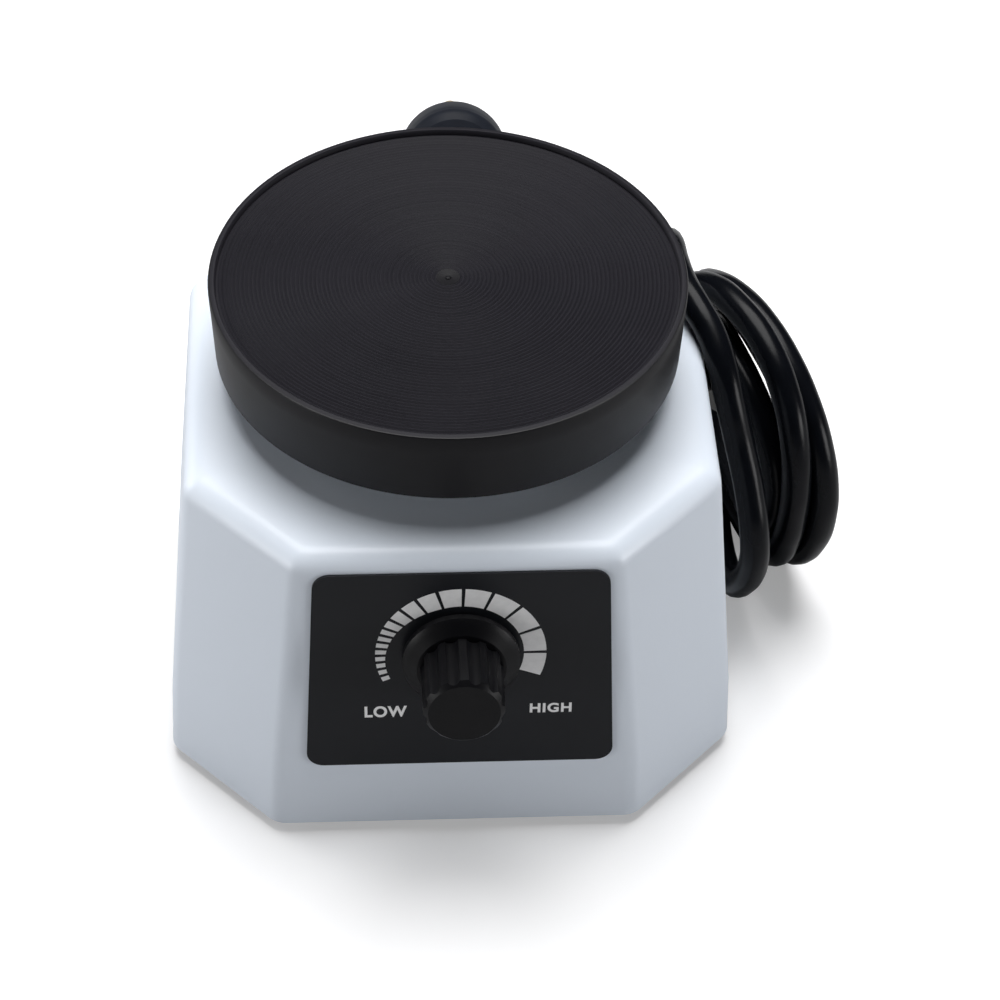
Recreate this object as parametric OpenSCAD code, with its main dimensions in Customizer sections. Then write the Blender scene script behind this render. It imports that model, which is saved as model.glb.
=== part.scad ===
// Flat-platform vortex mixer: a tapered eight-sided housing, a round ribbed
// rubber platform on an eccentric drive, and a dial for the mixing speed.
// Millimetres. +Z is up, -Y is the control side, and the origin lies on the
// surface that the feet stand on, below the middle of the housing.

/* [Housing] */
// Width across the flats at the bottom rim
base_w = 125; // [121:1:150]
// Height from the bottom rim to the top face
body_h = 76; // [74:1:95]
// Gap between the bottom rim and the surface
rim_gap = 3; // [2:0.5:4]
// Height of the skirt band above the rim
skirt_h = 16; // [12:1:20]
// How far each side of the skirt leans in
skirt_lean = 0.7; // [0.2:0.1:1.5]
// How far each side leans in between skirt and top
side_lean = 5.4; // [3:0.2:7]
// Leg of the cut across each corner
corner_cut = 23.3; // [16:0.5:28]
// Rounding of the upright edges
edge_r = 5.5; // [4:0.5:8]
// Rounding round the top face
top_r = 4.5; // [2:0.5:7]
// Wall of the moulding
wall = 2.6; // [2:0.2:3.4]

/* [Base] */
// Height of the rubber feet
foot_h = 5; // [4.5:0.5:7]
// Width of a rubber foot
foot_d = 15; // [12:0.5:17]
// Thickness of the steel base plate
plate_t = 3; // [2:0.5:5]
// Shank of the screws that hold feet, plate and housing
case_screw_d = 3.5; // [3:0.5:4]
// Width of a cooling slot
slot_w = 3; // [2:0.5:4]

/* [Platform] */
// Diameter of the rubber platform
platform_d = 101.6; // [95:0.2:112]
// Height of the rubber platform
platform_t = 18; // [16:0.5:24]
// Gap between the housing and the platform
platform_gap = 8.5; // [8:0.5:14]
// Rubber over the top of the metal deck
pad_skin = 4.6; // [3.5:0.2:6]
// Rubber round the rim of the metal deck
pad_side = 3.6; // [2.5:0.1:5]
// Width of the raised lip
lip_w = 1.6; // [1.2:0.2:3]
// Height of the lip above the ribs
lip_h = 0.9; // [0.4:0.1:1.6]
// Distance from one rib to the next
rib_pitch = 0.9; // [0.8:0.1:3]
// Depth of the grooves between the ribs
rib_depth = 0.3; // [0.2:0.05:0.8]

/* [Drive] */
// Radius of the platform's orbit
throw = 1.5; // [1:0.1:2]
// Diameter of the motor shaft and the crank pin
shaft_d = 6; // [5:0.5:7]
// Diameter of the rotor
rotor_d = 30; // [26:0.5:32]
// Air gap between rotor and stator
air_gap = 0.4; // [0.3:0.05:0.6]
// Width of the stator stack
stack_w = 52; // [50:1:56]
// Outer diameter of the cooling fan
fan_d = 42; // [36:1:46]
// Height of the eccentric hub
hub_h = 12; // [11.5:0.5:14]
// Radius of the counterweight
weight_r = 20; // [17:0.5:24]
// Outer diameter of the platform's ball bearing
bearing_d = 17; // [16:0.5:19]
// Width of the platform's ball bearing
bearing_w = 6; // [5:0.5:6]
// Diameter of the rubber mounts
mount_d = 11; // [9:0.5:13]
// Distance of the rubber mounts from the middle
mount_at = 34; // [33:0.5:37]

/* [Controls] */
// Width of the dial plate at its top edge
dial_w_top = 61.4; // [54:0.2:62]
// Width of the dial plate at its bottom edge
dial_w_low = 65.6; // [58:0.2:68]
// Height of the dial plate
dial_h = 53.6; // [50:0.2:55]
// Distance of the dial plate below the top edge
dial_drop = 4; // [3.8:0.1:5]
// Distance of the knob below the top edge
knob_drop = 26.1; // [25:0.1:30]
// Sideways place of the dial plate and the knob
dial_x = 0.8; // [-2:0.2:2]
// Diameter of the knob's skirt
knob_skirt_d = 24.6; // [23:0.2:28]
// Diameter of the knob's grip
knob_grip_d = 17.5; // [16:0.5:20]
// Distance of the knob's face from the dial plate
knob_h = 18; // [17:0.5:24]
// Number of flutes round the grip
flutes = 12; // [10:1:16]
// Diameter of the control's bushing
bushing_d = 7; // [6.5:0.5:8]

/* [Mains lead] */
// Diameter of the mains lead
cord_d = 6.8; // [6:0.1:7.2]
// Length of the strain relief outside the wall
relief_l = 17.5; // [16:0.5:19]
// Diameter of the plug's round body
plug_d = 29; // [28:0.5:32]

/* [Hidden] */

fit = 0.3;          // gap round pieces that move or drop into place
press = 0.01;       // gap of a pressed or screwed fit
running = 0.04;     // gap of a shaft in its bearing
sqrt2 = sqrt(2);
$fn = 64;

// Levels
z_top = rim_gap + body_h;
z_skirt = rim_gap + skirt_h;
plate_z0 = foot_h;
plate_z1 = plate_z0 + plate_t;
pad_z0 = z_top + platform_gap;
pad_z1 = pad_z0 + platform_t;
bead_t = 1.4;                         // rubber under the deck's rim
deck_z0 = pad_z0 + bead_t;
deck_z1 = pad_z1 - pad_skin;

// Housing: half of the width across the flats at height z
function half_w(z) = z <= z_skirt
    ? base_w / 2 - skirt_lean * (z - rim_gap) / skirt_h
    : base_w / 2 - skirt_lean - side_lean * (z - z_skirt) / (z_top - z_skirt);
side_tilt = atan(side_lean / (z_top - z_skirt));
// Moving an octagon's sides in by d shortens the leg of its corner cuts
function cut_in(d) = corner_cut - (2 - sqrt2) * d;
function octagon(h, c) = [
    [h, h - c], [h - c, h], [c - h, h], [-h, h - c],
    [-h, c - h], [c - h, -h], [h - c, -h], [h, c - h]];

// Base: each case screw goes through a foot and the plate into a boss
boss_d = 9;
plate_half = half_w(plate_z1) - wall - fit;
plate_flat = (2 * plate_half - cut_in(wall + fit)) / sqrt2;
screw_at = (plate_flat - fit - foot_d / 2) / sqrt2;
screw_head_h = 2.2;
screw_head_d = 2 * case_screw_d;
screw_pos = [for (sx = [-1, 1], sy = [-1, 1]) [sx * screw_at, sy * screw_at]];
boss_h = 24;
boss_hole = boss_h - 5;               // depth of the hole in a boss
boss_bite = 14;                       // depth of a screw in it

// Strain relief in the back wall, which the motor leaves room for
gland_z = 24;
gland_depth = 4.5;                    // its reach past the wall
gland_hole_d = cord_d + 4.2;
gland_flange_d = gland_hole_d + 4;

// Levels of the drive, set from the top of the housing down
bearing_z0 = z_top - bearing_w;
hub_cup_lip = 1.5;
hub_z1 = bearing_z0 - hub_cup_lip - 0.7;
hub_z0 = hub_z1 - hub_h;

// Motor: C-frame stator with its bore on the upright axis
end_ring_t = 2.5;
end_play = 0.5;
bush_h = 8;
bush_d = 2 * shaft_d;
motor_gap = 1.2;                      // lower bush to base plate
fan_h = 5.5;
fan_lift = 0.8;                       // upper bush to fan
fan_gap = 3.3;                        // fan to eccentric hub
stack_z0 = plate_z1 + motor_gap + bush_h + end_play + end_ring_t;
stack_t = hub_z0 - fan_gap - fan_h - fan_lift - bush_h - end_play - end_ring_t - stack_z0;
stack_z1 = stack_z0 + stack_t;
bore_r = rotor_d / 2 + air_gap;
stack_r = stack_w / 2;
window_w = 29;
window_y0 = bore_r + 5;
winding_gap = 2.25;                   // coil to strain relief
winding_room = half_w(gland_z) - wall - gland_depth - winding_gap - window_y0;
leg_w = 0.348 * winding_room;         // the leg that carries the coil
flange_w = 0.253 * winding_room;      // height of the coil's flanges
stack_back = window_y0 + winding_room - flange_w;
leg_y0 = stack_back - leg_w;
bolt_d = 4;
bolt_head_d = 7;
bolt_head_h = 2;
bolt_nut_d = 8;
bolt_nut_h = 3.2;
bolt_edge = 5;                        // bolt to the edge of the stack
ring_mid = (stack_r + bore_r) / 2;
bracket_bolt_pos = [[-ring_mid, 0], [ring_mid, 0]];
motor_bolt_pos = [
    [bolt_edge - stack_r, stack_back - bolt_edge], [stack_r - bolt_edge, stack_back - bolt_edge],
    [-ring_mid / sqrt2, -ring_mid / sqrt2], [ring_mid / sqrt2, -ring_mid / sqrt2]];
isolator_t = 3;
strap_w = 13;
strap_t = 2.5;
strap_lift = end_play + end_ring_t + 2.5;      // strap above the stack
upper_bush_z = stack_z1 + end_ring_t + end_play;
fan_z = upper_bush_z + bush_h + fan_lift;

// Eccentric drive
race_t = 2;
race_r = shaft_d / 2 + race_t;
ball_track_r = (shaft_d + bearing_d) / 4;
ball_r = (bearing_d - shaft_d) / 4 - 1.3;
ball_count = 8;
hub_r = shaft_d / 2 + 8;
shaft_grip = hub_h / 2 - 1;           // depth of the shaft in the hub
shaft_z0 = plate_z1 + motor_gap - 0.6;
weight_t = 7;
set_screw_d = 3;
pin_dir = [0, 1];                     // the crank pin's side at rest
pin_pos = throw * pin_dir;
opening_r = bearing_d / 2 + 4.5 + throw + 2.5;
collar_h = 3;
collar_t = 2.5;

// Platform, centred on the crank pin
platform_r = platform_d / 2;
deck_r = platform_r - pad_side;
deck_plate_t = 4;
cup_r = bearing_d / 2 + 4.5;
flange_t = 3;
flange_r = cup_r + 6;
hub_screw_d = 3;
hub_screw_head_d = 5.4;
hub_screw_bite = 6;                   // depth of a screw in the deck
hub_screw_pos = [for (i = [0:2]) (cup_r + 3) * [cos(120 * i), sin(120 * i)]];
skirt_in_r = opening_r + collar_t + throw + 2;
skirt_t = 2;
centre_boss_r = skirt_in_r + skirt_t + 0.5;
mount_screw_d = 3;
mount_head_d = 6;
mount_head_h = 2;
mount_sink = 2.4;                     // how deep its head sits in the deck
mount_pos = [for (i = [0:3]) mount_at * [cos(45 + 90 * i), sin(45 + 90 * i)]];
mount_grip = 4;                       // depth of a screw in a rubber mount

// Control group: local +Z points out of the sloped front, +Y up along it
dial_t = 0.6;
dial_r = 3.6;
control_body_d = 17;
control_body_h = 8;
bushing_h = 6;
nut_af = 10;
nut_h = 2;
board_w = 52;
board_h = 38;
board_t = 1.6;
board_gap = 2;                        // control body to board
board_y0 = -24;                       // lower edge of the board
board_z = -(wall + control_body_h + board_gap);
board_post_pos = [[-22, -18], [22, -18]];
board_screw_d = 2.5;
knob_gap = 1;                         // knob to dial plate

// Mains lead
coil_r_in = 20.4;                     // inside of the coil's turns
coil_r_out = 36.1;
coil_side_in = -5.5;                  // the coil's two sides, along its own axis
coil_side_out = 8;
coil_bevel_r = 28;                    // the inner side is cut back outside this
coil_bevel = 3.5;
tie_w = 6;
tie_angle = 62;                       // its place round the coil, from the floor to the back
coil_yaw = 24.5;
coil_lean = 2.6;
coil_low = coil_r_out * cos(coil_lean) - (coil_side_in + coil_bevel) * sin(coil_lean);
coil_at = [72.4, 28.4, coil_low];

// Lead from the strain relief, forward along the floor beside the housing,
// up in front of the coil and over the housing's shoulder into the coil
relief_way = [0, cos(side_tilt), sin(side_tilt)];
relief_tip = [0, half_w(gland_z), gland_z] + relief_l * relief_way;
lead_route = concat([relief_tip, relief_tip + cord_d * relief_way], [
    [1.5, 93, 26.5], [5.5, 100, 24.5], [12, 106, 20.5], [21, 109, 15], [31, 108, 9.5],
    [41, 103, 5.5], [49, 94, 3.8], [55.5, 82, 3.6], [60, 69, 3.6], [63, 56, 3.6], [65.6, 44, 3.6],
    [66.6, 32, 3.6], [66.5, 21, 4], [66.5, 10, 6.5], [67, -1, 12], [68, -8.5, 20], [69, -13, 30],
    [68.5, -13.5, 40], [67, -9.5, 50], [64.6, -4.5, 60], [62.3, -1, 69], [60.5, 3.5, 75.6],
    [58.4, 9.5, 79.9], [55.6, 15.5, 82.4], [53.2, 22.5, 83.2], [52, 30, 83.2], [51.8, 37.5, 81.8],
    [52, 44.5, 77], [52.2, 51, 68], [52.6, 55, 57]]);

// Plug: a side-entry plug resting on its rim and the tips of its pins
plug_at = [8, 160, 13];
plug_tilt = 28;
plug_t = 16;
plug_relief = 19;
blade_l = 17;
earth_l = 20;
earth_d = 4.8;
earth_at = 9;                         // earth pin below the plug's middle
pin_pitch = 12.7;                     // distance between the blades
plug_turn = 25;                       // the lead's way out, below the horizontal
plug_way = [cos(plug_turn), -sin(plug_tilt) * sin(plug_turn), -cos(plug_tilt) * sin(plug_turn)];
plug_exit = plug_at + plug_t / 2 * [0, -cos(plug_tilt), sin(plug_tilt)]
    + (plug_d / 2 - 3 + plug_relief) * plug_way;

// Tail down from the back of the coil, along the floor and into the plug
tail_route = concat([
    [62.8, 58, 51], [62.6, 63.5, 40], [63, 67.5, 29], [63.6, 72, 18.5], [64, 78.5, 10],
    [63.8, 88, 5], [63, 99, 3.6], [62, 110, 3.6], [60.4, 121, 3.6], [57.5, 131.5, 3.6],
    [52.5, 140, 3.6], [46, 144.8, 3.6]], [plug_exit + cord_d / 2 * plug_way, plug_exit]);

// ---- Shapes that several pieces share ----

// Solid of the housing's outer form, moved in by d all round
module body_form(d, z0, z1) {
    r = max(edge_r - d, 1);
    cap_r = max(top_r - d, 0.8);
    levels = concat([[z0, 0], [z_skirt, 0]],
        [for (a = [0:18:90]) [z1 - cap_r + cap_r * sin(a), cap_r * (1 - cos(a))]]);
    hull() {
        for (level = levels) {
            inset = d + level[1];
            round_r = max(r - level[1], 0.6);
            for (p = octagon(half_w(level[0]) - inset - round_r, cut_in(inset + round_r)))
                translate([p[0], p[1], level[0] - 0.01]) cylinder(r = round_r, h = 0.01, $fn = 40);
        }
    }
}

// Places children on the front slope, s below the top edge and x sideways
module on_front(x, s) {
    z = z_top - s * cos(side_tilt);
    translate([x, -half_w(z), z]) rotate([90 - side_tilt, 0, 0]) children();
}

// Places children on the back slope at height z
module on_back(z) {
    translate([0, half_w(z), z]) rotate([90 - side_tilt, 0, 180]) children();
}

module tube(outer_r, inner_r, h) {
    difference() {
        cylinder(r = outer_r, h = h);
        translate([0, 0, -1]) cylinder(r = inner_r, h = h + 2);
    }
}

// Screw with its head's seat at z = 0, shank upwards
module screw(d, length, head_d, head_h) {
    difference() {
        union() {
            translate([0, 0, -head_h]) cylinder(d = head_d, h = head_h);
            translate([0, 0, -0.01]) cylinder(d = d, h = length);
        }
        for (a = [0, 90]) rotate(a)
            translate([-head_d * 0.3, -head_d * 0.07, -head_h - 1])
                cube([head_d * 0.6, head_d * 0.14, 1 + head_h * 0.5]);
    }
}

// Flat shape with rounded corners, centred
module rounded_rect(w, h, r) {
    square([w - 2 * r, h], center = true);
    square([w, h - 2 * r], center = true);
    for (sx = [-1, 1], sy = [-1, 1])
        translate([sx * (w / 2 - r), sy * (h / 2 - r)]) circle(r);
}

// A round tube swept along points, closed at both ends. Each ring's first
// spoke is the one before it, turned as little as the bend asks for.
function unit(v) = v / norm(v);
function heading(p, i) = unit(p[min(i + 1, len(p) - 1)] - p[max(i - 1, 0)]);
function spokes(p, i = 0, last = [1, 0.1, 0.2]) = i == len(p) ? [] :
    let (h = heading(p, i), spoke = unit(last - (last * h) * h))
    concat([spoke], spokes(p, i + 1, spoke));
module cord_tube(points, d, sides = 10) {
    n = len(points);
    first = spokes(points);
    rings = [for (i = [0:n - 1])
        let (u = first[i], v = cross(heading(points, i), u))
        for (k = [0:sides - 1])
            points[i] + d / 2 * (cos(360 * k / sides) * u + sin(360 * k / sides) * v)];
    walls = [for (i = [0:n - 2], k = [0:sides - 1]) let (m = (k + 1) % sides)
        [i * sides + m, i * sides + k, (i + 1) * sides + k, (i + 1) * sides + m]];
    ends = [[for (k = [0:sides - 1]) k], [for (k = [sides - 1:-1:0]) (n - 1) * sides + k]];
    polyhedron(points = rings, faces = concat(walls, ends), convexity = 8);
}

// ---- Housing and base ----

module upper_housing() color("aliceblue") difference() {
    union() {
        difference() {
            body_form(0, rim_gap, z_top);
            body_form(wall, rim_gap - 1, z_top - wall);
        }
        intersection() {
            body_form(wall / 2, rim_gap, z_top - wall / 2);
            for (p = screw_pos) translate([p[0], p[1], plate_z1]) {
                cylinder(d = boss_d, h = boss_h);
                rotate(atan2(p[1], p[0])) translate([0, -1.2, 0]) cube([20, 2.4, boss_h]);
            }
        }
        translate([0, 0, z_top - wall]) cylinder(r = opening_r + collar_t, h = wall + collar_h);
        on_front(dial_x, knob_drop) for (p = board_post_pos)
            translate([p[0], p[1], board_z]) cylinder(d = 6, h = -board_z - wall / 2);
    }
    translate([0, 0, z_top - wall - 1]) cylinder(r = opening_r, h = wall + collar_h + 2);
    for (p = screw_pos) translate([p[0], p[1], plate_z1 - 1])
        cylinder(d = case_screw_d + 2 * press, h = boss_hole + 1);
    for (p = mount_pos) translate([p[0], p[1], z_top - wall - 1])
        cylinder(d = mount_screw_d + fit, h = wall + 2);
    on_front(dial_x, knob_drop) {
        translate([0, 0, -wall - 2]) cylinder(d = bushing_d + fit, h = wall + 4);
        for (p = board_post_pos) translate([p[0], p[1], board_z - 1])
            cylinder(d = board_screw_d + 2 * press, h = 8);
    }
    on_back(gland_z) translate([0, 0, -wall - 2]) cylinder(d = gland_hole_d, h = wall + 4);
}

module base_plate() color("silver") difference() {
    translate([0, 0, plate_z0]) linear_extrude(plate_t)
        polygon(octagon(plate_half, cut_in(wall + fit)));
    for (p = screw_pos) translate([p[0], p[1], plate_z0 - 1])
        cylinder(d = case_screw_d + fit, h = plate_t + 2);
    for (p = motor_bolt_pos) translate([p[0], p[1], plate_z0 - 1])
        cylinder(d = bolt_d + fit, h = plate_t + 2);
    for (side = [-1, 1], row = [-2:2]) translate([side * 42, row * 2.4 * slot_w, plate_z0 - 1]) {
        translate([-8, -slot_w / 2, 0]) cube([16, slot_w, plate_t + 2]);
        for (end = [-8, 8]) translate([end, 0, 0]) cylinder(d = slot_w, h = plate_t + 2);
    }
}

module foot(i) {
    seat_z = foot_h - 1;
    recess_r = screw_head_d / 2 + 0.6;
    hole_r = (case_screw_d + fit) / 2;
    color("dimgray") translate([screw_pos[i - 1][0], screw_pos[i - 1][1], 0]) rotate_extrude()
        polygon([[recess_r, 0], [foot_d / 2 - 1, 0], [foot_d / 2, 1], [foot_d / 2, foot_h],
            [hole_r, foot_h], [hole_r, seat_z], [recess_r, seat_z]]);
}

module case_screws() color("gray") for (p = screw_pos)
    translate([p[0], p[1], foot_h - 1])
        screw(case_screw_d, 1 + plate_t + boss_bite, screw_head_d, screw_head_h);

// ---- Motor ----

module stator_core() color("slategray") translate([0, 0, stack_z0]) linear_extrude(stack_t)
    difference() {
        union() {
            circle(stack_r);
            translate([-stack_r, 0]) square([stack_w, stack_back]);
        }
        circle(bore_r);
        translate([-window_w / 2, window_y0]) square([window_w, leg_y0 - window_y0]);
        for (p = concat(bracket_bolt_pos, motor_bolt_pos)) translate(p) circle(d = bolt_d + fit);
    }

// Section across the coil's leg, grown by g all round
module leg_section(g) translate([(stack_back + leg_y0) / 2, (stack_z0 + stack_z1) / 2])
    square([leg_w + 2 * g, stack_t + 2 * g], center = true);

// Extrudes a flat shape drawn in the YZ plane along X, centred
module along_x(w) translate([-w / 2, 0, 0]) rotate([90, 0, 90]) linear_extrude(w) children();

bobbin_w = window_w - 2 * fit;
bobbin_gap = 0.2;
bobbin_t = 1.2;
module coil_bobbin() color("ivory") difference() {
    union() {
        along_x(bobbin_w) leg_section(bobbin_gap + bobbin_t);
        for (side = [-1, 1]) translate([side * (bobbin_w - bobbin_t) / 2, 0, 0])
            along_x(bobbin_t) leg_section(flange_w);
    }
    along_x(bobbin_w + 2) leg_section(bobbin_gap);
}

module coil_winding() color("chocolate") difference() {
    along_x(bobbin_w - 2 * bobbin_t - 0.2)
        translate([(stack_back + leg_y0) / 2, (stack_z0 + stack_z1) / 2])
            rounded_rect(leg_w + 2 * flange_w - 1.4, stack_t + 2 * flange_w - 1.4, 4);
    along_x(bobbin_w) leg_section(bobbin_gap + bobbin_t + 0.05);
}

// Bracket over the stack, with the bush in its middle
module bearing_bracket() {
    foot_r = 4.5;
    difference() {
        union() {
            translate([-ring_mid, -strap_w / 2, stack_z1 + strap_lift]) cube([2 * ring_mid, strap_w, strap_t]);
            for (p = bracket_bolt_pos) translate([p[0], p[1], stack_z1]) {
                cylinder(r = foot_r, h = strap_lift + 0.1);
                translate([0, 0, strap_lift]) cylinder(d = strap_w, h = strap_t);
            }
            translate([0, 0, upper_bush_z]) cylinder(r = bush_d / 2 + 2, h = bush_h);
        }
        translate([0, 0, upper_bush_z - 1]) cylinder(d = bush_d + 2 * press, h = bush_h + 2);
        for (p = bracket_bolt_pos) translate([p[0], p[1], stack_z1 - 1])
            cylinder(d = bolt_d + fit, h = strap_lift + strap_t + 2);
    }
}

module bush() translate([0, 0, upper_bush_z]) tube(bush_d / 2, shaft_d / 2 + running, bush_h);

// The lower pieces mirror the upper ones about the middle of the stack
module flipped() translate([0, 0, stack_z0 + stack_z1]) mirror([0, 0, 1]) children();

module upper_bearing_bracket() color("lightgray") bearing_bracket();
module lower_bearing_bracket() color("lightgray") flipped() bearing_bracket();
module upper_bush() color("goldenrod") bush();
module lower_bush() color("goldenrod") flipped() bush();

module nut(d, across, h) difference() {
    cylinder(d = across, h = h, $fn = 6);
    translate([0, 0, -1]) cylinder(d = d + 2 * press, h = h + 2);
}

module bracket_bolts() color("gainsboro") for (p = bracket_bolt_pos) translate([p[0], p[1], 0]) {
    low = stack_z0 - strap_lift - strap_t;
    high = stack_z1 + strap_lift + strap_t;
    translate([0, 0, high]) mirror([0, 0, 1]) screw(bolt_d, high - low + bolt_head_h, bolt_head_d, bolt_head_h);
    translate([0, 0, low - bolt_nut_h]) nut(bolt_d, bolt_nut_d, bolt_nut_h);
}

module motor_pillars() color("gainsboro") for (p = motor_bolt_pos) translate([p[0], p[1], plate_z1])
    tube(4, bolt_d / 2 + fit / 2, stack_z0 - isolator_t - plate_z1);

module motor_isolators() color("dimgray") for (p = motor_bolt_pos)
    translate([p[0], p[1], stack_z0 - isolator_t]) tube(4.5, bolt_d / 2 + fit / 2, isolator_t);

module motor_bolts() color("gainsboro") for (p = motor_bolt_pos) translate([p[0], p[1], 0]) {
    translate([0, 0, plate_z0]) screw(bolt_d, stack_z1 - plate_z0 + bolt_nut_h + 0.6, bolt_head_d, bolt_head_h);
    translate([0, 0, stack_z1]) nut(bolt_d, bolt_nut_d, bolt_nut_h);
}

module motor_shaft() color("silver") translate([0, 0, shaft_z0])
    cylinder(d = shaft_d, h = hub_z0 + shaft_grip - shaft_z0);

module rotor_core() color("darkgray") translate([0, 0, stack_z0]) difference() {
    union() {
        cylinder(d = rotor_d, h = stack_t);
        translate([0, 0, -end_ring_t]) cylinder(d = rotor_d - 4, h = stack_t + 2 * end_ring_t);
    }
    translate([0, 0, -end_ring_t - 1])
        cylinder(d = shaft_d + 2 * press, h = stack_t + 2 * end_ring_t + 2);
}

module cooling_fan() color("whitesmoke") translate([0, 0, fan_z]) difference() {
    hub = shaft_d / 2 + 4;
    union() {
        cylinder(r = hub, h = fan_h);
        cylinder(d = fan_d, h = 1.2);
        for (i = [0:8]) rotate(40 * i) translate([hub - 1, 0, 0.6]) rotate(-22)
            cube([fan_d / 2 - hub - 0.5, 1.2, fan_h - 0.6]);
    }
    translate([0, 0, -1]) cylinder(d = shaft_d + 2 * press, h = fan_h + 2);
}

// ---- Eccentric drive ----

module eccentric_hub() color("goldenrod") difference() {
    union() {
        translate([0, 0, hub_z0]) cylinder(r = hub_r, h = hub_h);
        translate([0, 0, hub_z0]) linear_extrude(weight_t) difference() {
            circle(weight_r);
            translate([-weight_r - 1, -2]) square([2 * weight_r + 2, weight_r + 3]);
        }
    }
    translate([0, 0, hub_z0 - 1]) cylinder(d = shaft_d + 2 * press, h = shaft_grip + 1);
    translate([0, 0, hub_z0 + shaft_grip / 2]) rotate([-90, 0, 0])
        cylinder(d = set_screw_d + 2 * press, h = hub_r + 1);
    translate([pin_pos[0], pin_pos[1], hub_z0 + hub_h / 2])
        cylinder(d = shaft_d + 2 * press, h = hub_h);
}

module hub_set_screw() color("gray") translate([0, 0, hub_z0 + shaft_grip / 2])
    rotate([-90, 0, 0]) translate([0, 0, shaft_d / 2]) difference() {
        cylinder(d = set_screw_d, h = hub_r - shaft_d / 2 - 1);
        translate([0, 0, hub_r - shaft_d / 2 - 3]) cylinder(d = set_screw_d / 2, h = 3, $fn = 6);
    }

module crank_pin() color("silver")
    translate([pin_pos[0], pin_pos[1], hub_z0 + hub_h / 2])
        cylinder(d = shaft_d, h = bearing_z0 + bearing_w + 1 - hub_z0 - hub_h / 2);

// Ring with a round groove for the balls
module race(inner_r, outer_r) translate([pin_pos[0], pin_pos[1], bearing_z0])
    rotate_extrude() difference() {
        translate([inner_r, 0]) square([outer_r - inner_r, bearing_w]);
        translate([ball_track_r, bearing_w / 2]) circle(ball_r + 0.05);
    }

module bearing_inner_race() color("silver") race(shaft_d / 2 + press, race_r);
module bearing_outer_race() color("silver") race(bearing_d / 2 - race_t, bearing_d / 2);
module bearing_balls() color("white") translate([pin_pos[0], pin_pos[1], bearing_z0 + bearing_w / 2])
    for (i = [1:ball_count]) rotate(360 / ball_count * i) translate([ball_track_r, 0, 0])
        sphere(ball_r, $fn = 24);

// ---- Platform ----

// Places children on the platform's own axis
module on_pin() translate([pin_pos[0], pin_pos[1], 0]) children();

module platform_hub() color("gainsboro") on_pin() difference() {
    union() {
        translate([0, 0, bearing_z0 - hub_cup_lip]) cylinder(r = cup_r, h = deck_z0 - bearing_z0 + hub_cup_lip);
        translate([0, 0, deck_z0 - flange_t]) cylinder(r = flange_r, h = flange_t);
    }
    translate([0, 0, bearing_z0 - hub_cup_lip - 1])
        cylinder(r = bearing_d / 2 + press, h = bearing_w + hub_cup_lip + 1);
    translate([0, 0, bearing_z0]) cylinder(r = shaft_d / 2 + 3, h = bearing_w + 2.5);
    for (p = hub_screw_pos) translate([p[0], p[1], deck_z0 - flange_t - 1])
        cylinder(d = hub_screw_d + fit, h = flange_t + 2);
}

module hub_screws() color("gray") on_pin() for (p = hub_screw_pos)
    translate([p[0], p[1], deck_z0 - flange_t]) screw(hub_screw_d, flange_t + hub_screw_bite, hub_screw_head_d, 1.6);

module platform_deck() color("lightgray") on_pin() difference() {
    union() {
        rotate_extrude() polygon([
            [0, deck_z0], [centre_boss_r, deck_z0], [centre_boss_r, deck_z1 - deck_plate_t],
            [deck_r - 3, deck_z1 - deck_plate_t], [deck_r - 3, deck_z0], [deck_r, deck_z0],
            [deck_r, deck_z1 - 1], [deck_r - 1, deck_z1], [0, deck_z1]]);
        for (p = mount_pos) translate([p[0], p[1], deck_z0])
            cylinder(d = mount_d + 2, h = deck_z1 - deck_z0 - 1);
        for (i = [0:7]) rotate(45 * i + 22.5) translate([centre_boss_r - 1, -1.2, deck_z0 + 1])
            cube([deck_r - centre_boss_r, 2.4, deck_z1 - deck_z0 - 2]);
    }
    for (p = hub_screw_pos) translate([p[0], p[1], deck_z0 - 1])
        cylinder(d = hub_screw_d + 2 * press, h = hub_screw_bite + 2);
    for (p = mount_pos) translate([p[0], p[1], 0]) {
        translate([0, 0, deck_z0 - 1]) cylinder(d = mount_screw_d + fit, h = platform_t);
        translate([0, 0, deck_z1 - mount_sink]) cylinder(d = mount_head_d + 0.2, h = mount_sink + 1);
    }
}

module rubber_platform() color("dimgray") on_pin() {
    field_r = platform_r - lip_w;                      // where the ribs end
    field_z = pad_z1 - lip_h;
    count = floor((field_r - 2) / rib_pitch);
    first = field_r - count * rib_pitch;
    grooves = [for (i = [0:count - 1], s = [0, 1])
        [first + rib_pitch * (i + (s == 0 ? 0.15 : 0.6)), field_z - (s == 0 ? 0 : rib_depth)]];
    rotate_extrude($fn = 128) polygon(concat(
        [[0, deck_z1], [deck_r - 1 + 0.1, deck_z1], [deck_r + 0.1, deck_z1 - 1.1], [deck_r + 0.1, deck_z0],
         [deck_r - 2.4, deck_z0], [deck_r - 2.4, pad_z0], [platform_r - 1.4, pad_z0],
         [platform_r - 0.8, pad_z0 + 0.6], [platform_r, pad_z1 - 0.6], [platform_r - 0.2, pad_z1 - 0.15],
         [platform_r - 0.6, pad_z1], [field_r + 0.3, pad_z1], [field_r, pad_z1 - 0.3],
         [field_r - 0.1, field_z - rib_depth]],
        [for (i = [len(grooves) - 1:-1:0]) grooves[i]],
        [[0.7, field_z - rib_depth], [0.5, field_z - 0.1], [0, field_z]]));
}

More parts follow.
